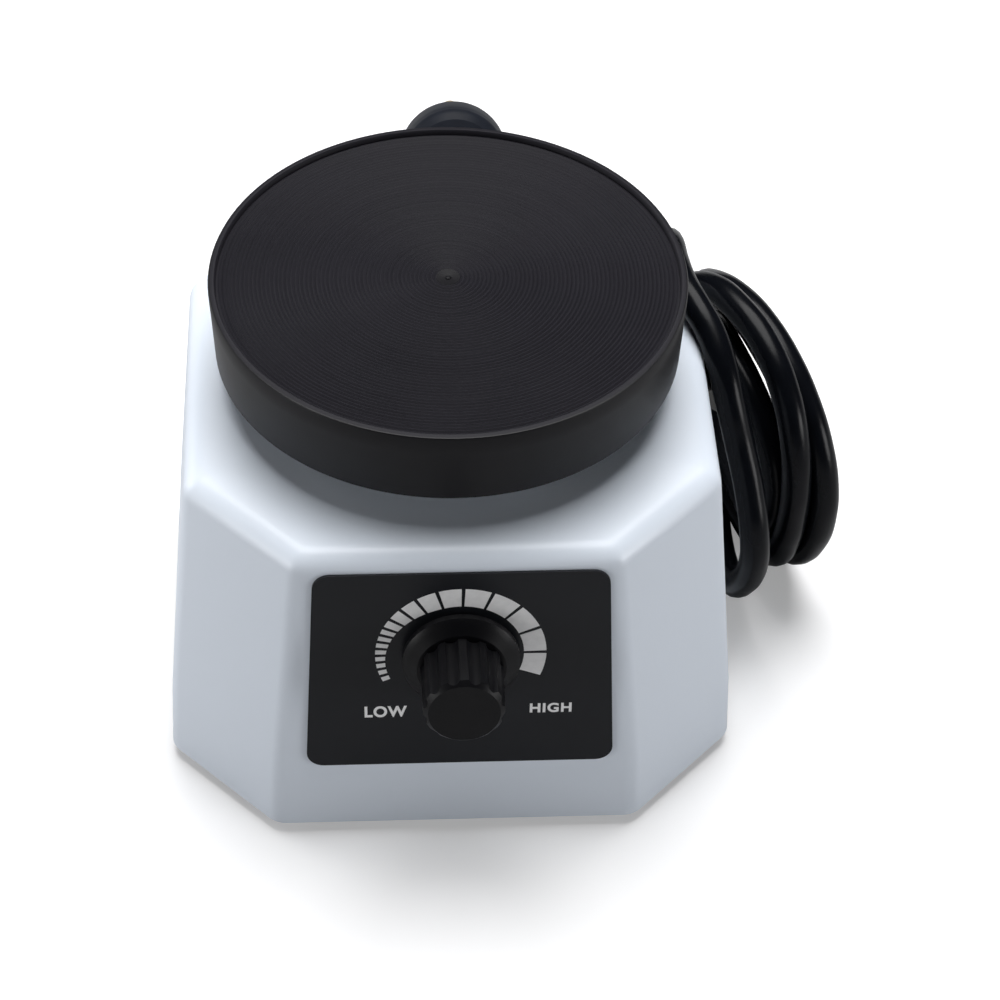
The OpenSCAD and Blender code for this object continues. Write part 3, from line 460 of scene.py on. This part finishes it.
def smooth_skin(node, material, body, sharp=32.0):
    """A node's own surface with its doubles merged and its curved faces smooth."""
    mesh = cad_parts[node].data.copy()
    work = bmesh.new()
    work.from_mesh(mesh)
    bmesh.ops.remove_doubles(work, verts=work.verts, dist=MERGE)
    work.to_mesh(mesh)
    work.free()
    if "custom_normal" in mesh.attributes:
        mesh.attributes.remove(mesh.attributes["custom_normal"])
    for face in mesh.polygons:
        face.use_smooth = True
    mesh.set_sharp_from_angle(angle=math.radians(sharp))
    return add_piece(node + "_skin", mesh, material, body, (node,))


def coat(material, *nodes):
    """Gives CAD nodes a material in place of their own."""
    for node in nodes:
        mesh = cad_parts[node].data
        mesh.materials.clear()
        mesh.materials.append(material)


def on_front(x, drop, lift):
    """Place on the sloped front: x sideways, drop below the top edge, lift off the wall."""
    return Vector((x, -TOP_HALF - drop * math.sin(SIDE_TILT) - lift * math.cos(SIDE_TILT),
                   TOP_Z - drop * math.cos(SIDE_TILT) + lift * math.sin(SIDE_TILT)))


def front_frame(x, drop, lift):
    """Matrix that lays a flat shape on the sloped front, its Y up the slope."""
    turn = Matrix.Rotation(math.pi / 2 - SIDE_TILT, 4, "X")
    return Matrix.Translation(on_front(x, drop, lift)) @ turn


def node_names(pattern, count):
    return [pattern.format(place) for place in range(1, count + 1)]


# ---- The mains lead ----


def coil_point(turns_and_shade, radius, shift):
    """A point of the coil, that many turns from its top by way of the back."""
    up = Vector((-math.sin(COIL_LEAN) * math.cos(COIL_YAW), -math.sin(COIL_LEAN) * math.sin(COIL_YAW),
                 math.cos(COIL_LEAN)))
    back = Vector((-math.sin(COIL_YAW), math.cos(COIL_YAW), 0))
    side = Vector((math.cos(COIL_LEAN) * math.cos(COIL_YAW), math.cos(COIL_LEAN) * math.sin(COIL_YAW),
                   math.sin(COIL_LEAN)))
    angle = turns_and_shade * math.tau
    return Vector(COIL_AT) + radius * (math.cos(angle) * up + math.sin(angle) * back) + shift * side


def slope_at(place, column):
    """How fast a column of the coil's stations grows at one of them, per turn."""
    before = COIL_TURNS[max(place - 1, 0)]
    after = COIL_TURNS[min(place + 1, len(COIL_TURNS) - 1)]
    return (after[column] - before[column]) / (after[0] - before[0])


def coil_route():
    """Points along the coil's turns, on a smooth line through its stations."""
    route = []
    whole = COIL_TURNS[-1][0] - COIL_TURNS[0][0]
    steps = round(whole * STEPS_PER_TURN)
    place = 0
    for step in range(steps + 1):
        turns_and_shade = COIL_TURNS[0][0] + whole * step / steps
        while turns_and_shade > COIL_TURNS[place + 1][0] + SAME_TURN:
            place += 1
        start, end = COIL_TURNS[place:place + 2]
        span = end[0] - start[0]
        share = (turns_and_shade - start[0]) / span
        ease = share * share * (3 - 2 * share)
        leave = share * (1 - share) ** 2 * span
        arrive = share * share * (share - 1) * span
        radius, shift = (start[column] + (end[column] - start[column]) * ease
                         + leave * slope_at(place, column) + arrive * slope_at(place + 1, column)
                         for column in (1, 2))
        route.append(coil_point(turns_and_shade, radius, shift))
    return route


def cord_curve(name, route, diameter):
    """One open smooth spline through the route, with a round section."""
    curve = bpy.data.curves.new(name, "CURVE")
    curve.dimensions = "3D"
    curve.bevel_depth = diameter / 2
    curve.bevel_resolution = 6
    curve.resolution_u = 8
    curve.use_fill_caps = True
    spline = curve.splines.new("BEZIER")
    spline.bezier_points.add(len(route) - 1)
    for knot, point in zip(spline.bezier_points, route):
        knot.co = Vector(point) * MM
        knot.handle_left_type = knot.handle_right_type = "AUTO"
    return curve


def line_length(curve):
    """Length of a curve's own line."""
    bare = curve.copy()
    bare.bevel_depth = 0
    holder = bpy.data.objects.new("cord_line", bare)
    mesh = bpy.data.meshes.new_from_object(holder)
    points = [vertex.co.copy() for vertex in mesh.vertices]
    bpy.data.objects.remove(holder)
    bpy.data.curves.remove(bare)
    bpy.data.meshes.remove(mesh)
    return sum((end - start).length for start, end in zip(points, points[1:]))


# ---- The dial's print ----

# The scale's steps: an even fine step, as a share of an even division, then a climb over this part
FINE_STEP = 0.5
CLIMB_START = 0.42
CLIMB_END = 0.81
# How far round the scale its band reaches full width
BAND_FULL = 0.45
# Points along each mark's arc
MARK_POINTS = 9
# How much bolder and wider apart than the plain font the letters are
LETTER_WEIGHT = 0.034
LETTER_SPACING = 1.12
# How far the ink stands out and floats, and each word's place, drop, width and height
PRINT_RISE = 0.03 * MM
PRINT_LIFT = DIAL_THICKNESS + 0.01 * MM
WORDS = {
    "LOW": (-15.0 * MM, 42.1 * MM, 9.0 * MM, 3.2 * MM),
    "HIGH": (20.0 * MM, 42.0 * MM, 8.9 * MM, 2.7 * MM),
}


def scale_tree(material):
    """Geometry nodes of the scale: marks that grow wider and longer round an arc."""
    tree = bpy.data.node_groups.new("dial_scale", "GeometryNodeTree")
    tree.interface.new_socket("Geometry", in_out="OUTPUT", socket_type="NodeSocketGeometry")
    sizes = ("Marks", "Outer", "Low Band", "High Band", "Low Angle", "High Angle", "Gap", "Height")
    for name in sizes:
        kind = "NodeSocketInt" if name == "Marks" else "NodeSocketFloat"
        tree.interface.new_socket(name, in_out="INPUT", socket_type=kind)
    entry = tree.nodes.new("NodeGroupInput")
    leave = tree.nodes.new("NodeGroupOutput")

    def node(kind, settings=None, sockets=None):
        made = tree.nodes.new(kind)
        for name, item in (settings or {}).items():
            setattr(made, name, item)
        for name, item in (sockets or {}).items():
            if isinstance(item, bpy.types.NodeSocket):
                tree.links.new(item, made.inputs[name])
            else:
                made.inputs[name].default_value = item
        return made

    def sum_of(operation, *items):
        return node("ShaderNodeMath", {"operation": operation}, dict(enumerate(items))).outputs[0]

    size = {name: entry.outputs[name] for name in sizes}
    points = node("GeometryNodeMeshLine", {"mode": "OFFSET"}, {"Count": size["Marks"], "Offset": (0, 0, 0)})
    index = node("GeometryNodeInputIndex")
    kept = node("GeometryNodeStoreNamedAttribute", {"data_type": "FLOAT", "domain": "POINT"},
                {"Geometry": points.outputs[0], "Name": "mark", "Value": index.outputs[0]})
    tile = node("GeometryNodeMeshGrid", None, {
        "Size X": 1, "Size Y": 1, "Vertices X": MARK_POINTS, "Vertices Y": 2})
    spread = node("GeometryNodeInstanceOnPoints", None, {
        "Points": kept.outputs[0], "Instance": tile.outputs[0]})
    real = node("GeometryNodeRealizeInstances", None, {"Geometry": spread.outputs[0]})

    mark = node("GeometryNodeInputNamedAttribute", {"data_type": "FLOAT"}, {"Name": "mark"}).outputs[0]
    place = node("ShaderNodeSeparateXYZ", None, {"Vector": node("GeometryNodeInputPosition").outputs[0]})
    across = sum_of("ADD", place.outputs["X"], 0.5)
    outward = sum_of("ADD", place.outputs["Y"], 0.5)

    def share_at(steps):
        """How far round the arc a mark's edge lies: fine steps first, then a climb to wide ones."""
        part = sum_of("DIVIDE", steps, size["Marks"])
        climb = node("ShaderNodeMapRange", None, {
            "Value": part, "From Min": CLIMB_START, "From Max": CLIMB_END}).outputs[0]
        past = sum_of("MAXIMUM", sum_of("SUBTRACT", part, CLIMB_END), 0)
        square = sum_of("MULTIPLY", climb, climb)
        grown = sum_of("MULTIPLY_ADD", square, (CLIMB_END - CLIMB_START) / 2, past)
        wide = (1 - FINE_STEP) / (1 - (CLIMB_START + CLIMB_END) / 2)
        return sum_of("MULTIPLY_ADD", grown, wide, sum_of("MULTIPLY", part, FINE_STEP))

    start = share_at(mark)
    end = share_at(sum_of("ADD", mark, 1))
    sweep = sum_of("SUBTRACT", size["High Angle"], size["Low Angle"])
    trim = sum_of("DIVIDE", size["Gap"], sum_of("MULTIPLY", sum_of("ABSOLUTE", sweep), size["Outer"]))
    half = sum_of("MULTIPLY", trim, 0.5)
    width = sum_of("SUBTRACT", sum_of("SUBTRACT", end, start), trim)
    share = sum_of("ADD", sum_of("MULTIPLY_ADD", across, width, start), half)
    angle = sum_of("MULTIPLY_ADD", share, sweep, size["Low Angle"])
    band = node("ShaderNodeMapRange", {"interpolation_type": "SMOOTHSTEP"}, {
        "Value": share, "From Max": BAND_FULL, "To Min": size["Low Band"],
        "To Max": size["High Band"]}).outputs[0]
    inner = sum_of("SUBTRACT", size["Outer"], band)
    radius = sum_of("MULTIPLY_ADD", outward, band, inner)
    bent = node("ShaderNodeCombineXYZ", None, {
        "X": sum_of("MULTIPLY", radius, sum_of("COSINE", angle)),
        "Y": sum_of("MULTIPLY", radius, sum_of("SINE", angle))})
    laid = node("GeometryNodeSetPosition", None, {"Geometry": real.outputs[0], "Position": bent.outputs[0]})
    rise = node("ShaderNodeCombineXYZ", None, {"Z": size["Height"]})
    raised = node("GeometryNodeExtrudeMesh", {"mode": "FACES"}, {
        "Mesh": laid.outputs[0], "Offset": rise.outputs[0], "Offset Scale": 1, "Individual": False})
    under = node("GeometryNodeFlipFaces", None, {"Mesh": laid.outputs[0]})
    whole = node("GeometryNodeJoinGeometry")
    tree.links.new(raised.outputs[0], whole.inputs[0])
    tree.links.new(under.outputs[0], whole.inputs[0])
    closed = node("GeometryNodeMergeByDistance", None, {"Geometry": whole.outputs[0], "Distance": MERGE})
    last = node("GeometryNodeRealizeInstances", None, {"Geometry": closed.outputs[0]})
    inked = node("GeometryNodeSetMaterial", None, {"Geometry": last.outputs[0], "Material": material})
    tree.links.new(inked.outputs[0], leave.inputs[0])
    return tree


def grown_mesh(name, tree, sizes):
    """The plain mesh that a node tree makes with these sizes."""
    holder = bpy.data.objects.new(name, bpy.data.meshes.new(name + "_seed"))
    bpy.context.scene.collection.objects.link(holder)
    modifier = holder.modifiers.new("grow", "NODES")
    modifier.node_group = tree
    for item in tree.interface.items_tree:
        if item.in_out == "INPUT" and item.name in sizes:
            modifier[item.identifier] = sizes[item.name]
    seen = holder.evaluated_get(bpy.context.evaluated_depsgraph_get())
    mesh = bpy.data.meshes.new_from_object(seen)
    mesh.name = name
    bpy.data.objects.remove(holder)
    return mesh


def outward_faces(mesh):
    work = bmesh.new()
    work.from_mesh(mesh)
    bmesh.ops.remove_doubles(work, verts=work.verts, dist=MERGE)
    bmesh.ops.recalc_face_normals(work, faces=work.faces)
    work.to_mesh(mesh)
    work.free()


def word_mesh(word, width, height, rise):
    """A printed word, fitted to a width and a height and centred."""
    text = bpy.data.curves.new(word, "FONT")
    text.body = word
    text.size = 1
    text.offset = LETTER_WEIGHT
    text.space_character = LETTER_SPACING
    text.extrude = 0.5
    holder = bpy.data.objects.new(word, text)
    mesh = bpy.data.meshes.new_from_object(holder)
    bpy.data.objects.remove(holder)
    low = Vector([min(vertex.co[axis] for vertex in mesh.vertices) for axis in range(3)])
    high = Vector([max(vertex.co[axis] for vertex in mesh.vertices) for axis in range(3)])
    size = high - low
    for vertex in mesh.vertices:
        share = [(vertex.co[axis] - low[axis]) / size[axis] for axis in range(3)]
        vertex.co = ((share[0] - 0.5) * width, (share[1] - 0.5) * height, share[2] * rise)
    outward_faces(mesh)
    return mesh


# ---- Operators ----


class MIXER_OT_camera(bpy.types.Operator):
    """Sets up the camera above and in front of the mixer"""

    bl_idname = "mixer.camera"
    bl_label = "Camera"

    def execute(self, context):
        azimuth, elevation, roll = (math.radians(angle) for angle in CAMERA_ANGLES)
        back = Vector((math.sin(azimuth) * math.cos(elevation), -math.cos(azimuth) * math.cos(elevation),
                       math.sin(elevation)))
        right = (-back).cross(Vector((0, 0, 1))).normalized()
        up = right.cross(-back)
        tilted = math.cos(roll) * right + math.sin(roll) * up
        upright = -math.sin(roll) * right + math.cos(roll) * up
        eye = Vector(AIM) + CAMERA_AWAY * back
        data = bpy.data.cameras.new("camera")
        data.lens = LENS
        data.sensor_width = SENSOR
        data.shift_x, data.shift_y = FRAME_SHIFT
        data.clip_start = 0.01
        camera = bpy.data.objects.new("camera", data)
        camera.matrix_world = Matrix((
            (tilted.x, upright.x, back.x, eye.x),
            (tilted.y, upright.y, back.y, eye.y),
            (tilted.z, upright.z, back.z, eye.z),
            (0, 0, 0, 1)))
        context.scene.collection.objects.link(camera)
        context.scene.camera = camera
        return {"FINISHED"}


class MIXER_OT_mains_lead(bpy.types.Operator):
    """Lays the mains lead from its strain relief through the coil to the plug"""

    bl_idname = "mixer.mains_lead"
    bl_label = "Mains lead"

    def execute(self, context):
        finishes = context.scene.mixer_finishes
        diameter = context.scene.mixer_cord.diameter
        sheath = cord_sheath("cord_sheath", tuple(finishes.cord))
        route = LEAD_ROUTE + coil_route() + TAIL_ROUTE
        curve = cord_curve("mains_lead", route, diameter)
        lead = bpy.data.objects.new("mains_lead", curve)
        context.scene.collection.objects.link(lead)
        curve.materials.append(sheath)
        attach(lead, "root")
        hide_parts("cord_lead", "cord_coil", "cord_tail")
        moulding = cord_sheath("plug_moulding", shade(tuple(finishes.cord), MOULDING_SHADE), roughness=0.45)
        plug = smooth_skin("plug_body", moulding, "root")
        smooth_skin("strain_relief", moulding, "root")
        pins = worked_metal("plug_pins", (0.78, 0.62, 0.32), 0.25, streak=(1, 1, 8))
        coat(pins, "plug_blades", "plug_earth_pin")
        coat(plain_plastic("cord_tie", (0.02, 0.02, 0.02), 0.5), "cord_tie")
        line_length(curve)
        return {"FINISHED"}


class MIXER_OT_housing(bpy.types.Operator):
    """Dresses the moulded housing"""

    bl_idname = "mixer.housing"
    bl_label = "Housing"

    def execute(self, context):
        plastic = moulded_housing(tuple(context.scene.mixer_finishes.housing))
        smooth_skin("upper_housing", plastic, "root", sharp=26)
        return {"FINISHED"}


class MIXER_OT_base(bpy.types.Operator):
    """Dresses the base plate, the feet and their screws"""

    bl_idname = "mixer.base"
    bl_label = "Base"

    def execute(self, context):
        coat(worked_metal("zinc_plate", (0.60, 0.61, 0.62), 0.42, streak=(1, 6, 1), grain=500), "base_plate")
        coat(worked_metal("zinc_screws", (0.66, 0.67, 0.68), 0.34), "case_screws", "bracket_bolts",
             "motor_bolts", "motor_pillars", "mount_base_screws", "mount_top_screws", "hub_screws",
             "board_screws", "control_nut", "hub_set_screw", "upper_bearing_bracket",
             "lower_bearing_bracket")
        rubber = black_rubber("foot_rubber", (0.02, 0.02, 0.021))
        for node in node_names("foot_{}", 4):
            smooth_skin(node, rubber, "root")
        coat(rubber, "motor_isolators")
        return {"FINISHED"}


class MIXER_OT_platform(bpy.types.Operator):
    """Dresses the ribbed rubber platform and what carries it"""

    bl_idname = "mixer.platform"
    bl_label = "Platform"

    def execute(self, context):
        colour = tuple(context.scene.mixer_finishes.platform)
        smooth_skin("rubber_platform", ribbed_rubber(colour), "platform", sharp=40)
        soft = black_rubber("mount_rubber", shade(colour, 0.9))
        smooth_skin("splash_skirt", soft, "platform")
        for node in node_names("platform_mount_{}", 4):
            smooth_skin(node, soft, "root")
        coat(worked_metal("cast_aluminium", (0.70, 0.71, 0.72), 0.5, grain=400), "platform_deck",
             "platform_hub", "rotor_core", "heat_sink")
        return {"FINISHED"}


class MIXER_OT_drive(bpy.types.Operator):
    """Dresses the motor and the eccentric drive"""

    bl_idname = "mixer.drive"
    bl_label = "Drive"

    def execute(self, context):
        coat(stacked_steel((0.20, 0.22, 0.25)), "stator_core")
        coat(wound_copper((0.62, 0.25, 0.10)), "coil_winding")
        coat(plain_plastic("bobbin_nylon", (0.82, 0.78, 0.66)), "coil_bobbin")
        coat(plain_plastic("fan_nylon", (0.80, 0.80, 0.77)), "cooling_fan")
        coat(worked_metal("bronze", (0.62, 0.44, 0.22), 0.4), "upper_bush", "lower_bush", "eccentric_hub")
        coat(worked_metal("ground_steel", (0.75, 0.75, 0.76), 0.2, streak=(1, 1, 10)), "motor_shaft",
             "crank_pin", "bearing_inner_race", "bearing_balls", "bearing_outer_race", "control_shaft")
        return {"FINISHED"}


class MIXER_OT_controls(bpy.types.Operator):
    """Dresses the circuit board and the speed control"""

    bl_idname = "mixer.controls"
    bl_label = "Controls"

    def execute(self, context):
        coat(board_laminate((0.03, 0.16, 0.06)), "circuit_board")
        coat(plain_plastic("triac_case", (0.025, 0.025, 0.027)), "triac")
        coat(plain_plastic("capacitor_case", (0.72, 0.50, 0.06), 0.3), "capacitor")
        coat(plain_plastic("terminal_case", (0.06, 0.36, 0.14)), "terminal_block")
        coat(fuse_tube((0.70, 0.78, 0.78)), "fuse")
        coat(worked_metal("control_can", (0.55, 0.56, 0.57), 0.4), "speed_control")
        return {"FINISHED"}


class MIXER_OT_dial(bpy.types.Operator):
    """Makes the dial plate and prints its scale and its words"""

    bl_idname = "mixer.dial"
    bl_label = "Dial"

    def execute(self, context):
        finishes = context.scene.mixer_finishes
        dial = context.scene.mixer_dial
        smooth_skin("dial_plate", dial_film(tuple(finishes.dial)), "root")
        ink = print_ink(tuple(finishes.ink))
        sizes = {"Marks": dial.marks, "Outer": dial.outer, "Low Band": dial.low_band,
                 "High Band": dial.high_band, "Low Angle": dial.low_angle, "High Angle": dial.high_angle,
                 "Gap": dial.gap, "Height": PRINT_RISE}
        scale = grown_mesh("dial_scale", scale_tree(ink), sizes)
        outward_faces(scale)
        scale.transform(front_frame(DIAL_X, SCALE_DROP, PRINT_LIFT))
        add_piece("dial_scale", scale, ink, "root")
        for word, (x, drop, width, height) in WORDS.items():
            mesh = word_mesh(word, width, height, PRINT_RISE)
            mesh.transform(front_frame(x, drop, PRINT_LIFT))
            add_piece("word_" + word.lower(), mesh, ink, "root")
        return {"FINISHED"}


class MIXER_OT_knob(bpy.types.Operator):
    """Dresses the control knob"""

    bl_idname = "mixer.knob"
    bl_label = "Knob"

    def execute(self, context):
        black = satin_knob(tuple(context.scene.mixer_finishes.knob))
        smooth_skin("control_knob", black, "knob", sharp=30)
        return {"FINISHED"}


class MIXER_OT_stage(bpy.types.Operator):
    """Lays the pale floor and hangs the soft lamps"""

    bl_idname = "mixer.stage"
    bl_label = "Stage"

    def lamp(self, context, name, place, size, watts):
        data = bpy.data.lights.new(name, "AREA")
        data.shape = "DISK"
        data.size = size
        data.energy = watts
        lamp = bpy.data.objects.new(name, data)
        lamp.location = place
        lamp.rotation_euler = (Vector(AIM) - Vector(place)).to_track_quat("-Z", "Y").to_euler()
        context.scene.collection.objects.link(lamp)

    def floor(self, context, colour):
        mesh = bpy.data.meshes.new("floor")
        corners = [(x * FLOOR_HALF, y * FLOOR_HALF, 0) for x, y in ((-1, -1), (1, -1), (1, 1), (-1, 1))]
        mesh.from_pydata(corners, [], [(0, 1, 2, 3)])
        floor = bpy.data.objects.new("floor", mesh)
        context.scene.collection.objects.link(floor)
        made = Finish("floor_paper", shade(colour, FLOOR_BOUNCE), FLOOR_ROUGHNESS,
                      Specular_IOR_Level=FLOOR_SHEEN)
        x, y, _ = made.axes()
        far = made.node("ShaderNodeMapRange", sockets={
            "Value": (x * x + y * y) ** 0.5, "From Min": FLOOR_GLOW[0], "From Max": FLOOR_GLOW[1]})
        lit = made.node("ShaderNodeBsdfPrincipled", sockets={
            "Base Color": (*colour, 1), "Roughness": FLOOR_ROUGHNESS, "Specular IOR Level": FLOOR_SHEEN,
            "Emission Color": made.mix(far, (NEAR_GLOW,) * 3, (1, 1, 1)), "Emission Strength": 1})
        seen = made.node("ShaderNodeLightPath", output="Is Camera Ray")
        blend = made.node("ShaderNodeMixShader", sockets={
            0: seen, 1: Value(made.tree, made.shader.outputs[0]), 2: lit})
        made.feed(made.output, {"Surface": blend})
        mesh.materials.append(made.material)

    def sky(self, context, strength):
        world = bpy.data.worlds.new("studio")
        world.use_nodes = True
        context.scene.world = world
        tree = world.node_tree
        tree.nodes.clear()
        output = tree.nodes.new("ShaderNodeOutputWorld")
        light = tree.nodes.new("ShaderNodeBackground")
        light.inputs["Strength"].default_value = strength
        white = tree.nodes.new("ShaderNodeBackground")
        path = tree.nodes.new("ShaderNodeLightPath")
        mix = tree.nodes.new("ShaderNodeMixShader")
        tree.links.new(path.outputs["Is Camera Ray"], mix.inputs[0])
        tree.links.new(light.outputs[0], mix.inputs[1])
        tree.links.new(white.outputs[0], mix.inputs[2])
        tree.links.new(mix.outputs[0], output.inputs["Surface"])

    def execute(self, context):
        stage = context.scene.mixer_stage
        context.scene.view_settings.view_transform = "Standard"
        self.floor(context, tuple(stage.floor))
        for name, (place, size) in LAMPS.items():
            self.lamp(context, name, place, size, getattr(stage, name))
        self.sky(context, stage.sky)
        return {"FINISHED"}


class MIXER_PT_panel(bpy.types.Panel):
    """Lists the mixer's pieces, sizes and colours"""

    bl_idname = "MIXER_PT_panel"
    bl_label = "Vortex Mixer"
    bl_space_type = "VIEW_3D"
    bl_region_type = "UI"
    bl_category = "Mixer"

    def draw(self, context):
        scene = context.scene
        for group in GROUPS:
            box = self.layout.box()
            for name in group.__annotations__:
                box.prop(getattr(scene, GROUPS[group]), name)
        for operator in OPERATORS:
            self.layout.operator(operator.bl_idname)


GROUPS = {
    MixerFinishes: "mixer_finishes",
    MixerDial: "mixer_dial",
    MixerCord: "mixer_cord",
    MixerStage: "mixer_stage",
}
OPERATORS = [
    MIXER_OT_camera,
    MIXER_OT_mains_lead,
    MIXER_OT_housing,
    MIXER_OT_base,
    MIXER_OT_platform,
    MIXER_OT_drive,
    MIXER_OT_controls,
    MIXER_OT_dial,
    MIXER_OT_knob,
    MIXER_OT_stage,
]


def register():
    for item in [*GROUPS, *OPERATORS, MIXER_PT_panel]:
        bpy.utils.register_class(item)
    for group, name in GROUPS.items():
        setattr(bpy.types.Scene, name, bpy.props.PointerProperty(type=group))


def unregister():
    for name in GROUPS.values():
        delattr(bpy.types.Scene, name)
    for item in reversed([*GROUPS, *OPERATORS, MIXER_PT_panel]):
        bpy.utils.unregister_class(item)


def main():
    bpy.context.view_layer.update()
    register()
    bpy.ops.mixer.camera()
    bpy.ops.mixer.mains_lead()
    bpy.ops.mixer.housing()
    bpy.ops.mixer.base()
    bpy.ops.mixer.platform()
    bpy.ops.mixer.drive()
    bpy.ops.mixer.controls()
    bpy.ops.mixer.dial()
    bpy.ops.mixer.knob()
    bpy.ops.mixer.stage()
    bpy.context.view_layer.update()


if __name__ == "__main__":
    main()
